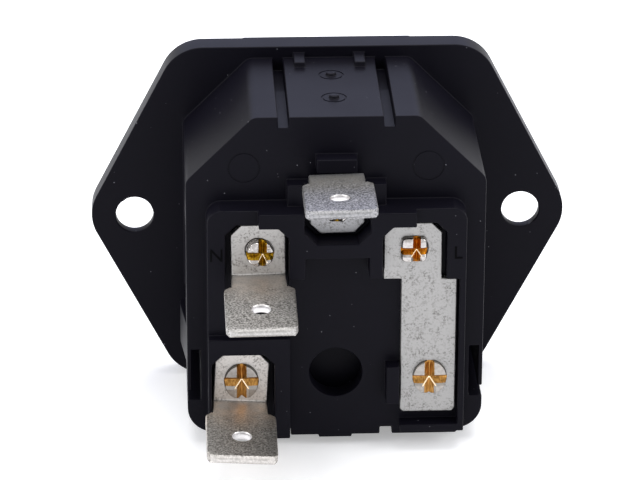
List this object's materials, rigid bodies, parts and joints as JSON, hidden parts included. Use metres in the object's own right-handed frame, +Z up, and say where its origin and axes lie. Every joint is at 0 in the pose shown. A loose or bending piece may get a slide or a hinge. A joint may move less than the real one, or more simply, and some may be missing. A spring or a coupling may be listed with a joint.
{
  "type": "c14 panel inlet socket",
  "caption": "Panel inlet with a recessed three-pin connector, a pull-out fuse drawer, a screw flange and rear tab terminals.",
  "frame": {"origin": "midway between the two screw holes, on the flange face that seats on the panel", "axes": "+X to the right and +Z up as seen from the wiring side, +Y out of the front of the panel, towards the mating connector"},
  "size_m": [0.044, 0.0316, 0.033],
  "materials": {
    "housing_plastic": "moulded, fine satin",
    "drawer_plastic": "moulded, fine satin",
    "pin_metal": "nickel plated",
    "rivet_metal": "tinned, struck",
    "terminal_metal": "tinned",
    "contact_metal": "bright spring sheet",
    "cap_metal": "nickel plated",
    "fuse_glass": "clear",
    "wire_metal": "plated wire"
  },
  "bodies": {
    "inlet": {"inlet_housing": "housing_plastic", "neutral_pin": "pin_metal", "line_pin": "pin_metal", "earth_pin": "pin_metal", "left_contact_rivet": "rivet_metal", "right_contact_rivet": "rivet_metal", "neutral_terminal": "terminal_metal", "earth_terminal": "terminal_metal", "fused_line_terminal": "terminal_metal", "line_link": "terminal_metal", "left_fuse_contact": "contact_metal", "right_fuse_contact": "contact_metal"},
    "drawer": {"fuse_drawer": "drawer_plastic", "fuse_glass_tube": "fuse_glass", "fuse_cap_left": "cap_metal", "fuse_cap_right": "cap_metal", "fuse_wire": "wire_metal", "spare_fuse_glass_tube": "fuse_glass", "spare_fuse_cap_left": "cap_metal", "spare_fuse_cap_right": "cap_metal", "spare_fuse_wire": "wire_metal"}
  },
  "joints": [
    {"name": "drawer_slide", "type": "slide", "parent": "inlet", "child": "drawer", "axis": [0, 1, 0], "range_m": [0, 0.018]}
  ]
}
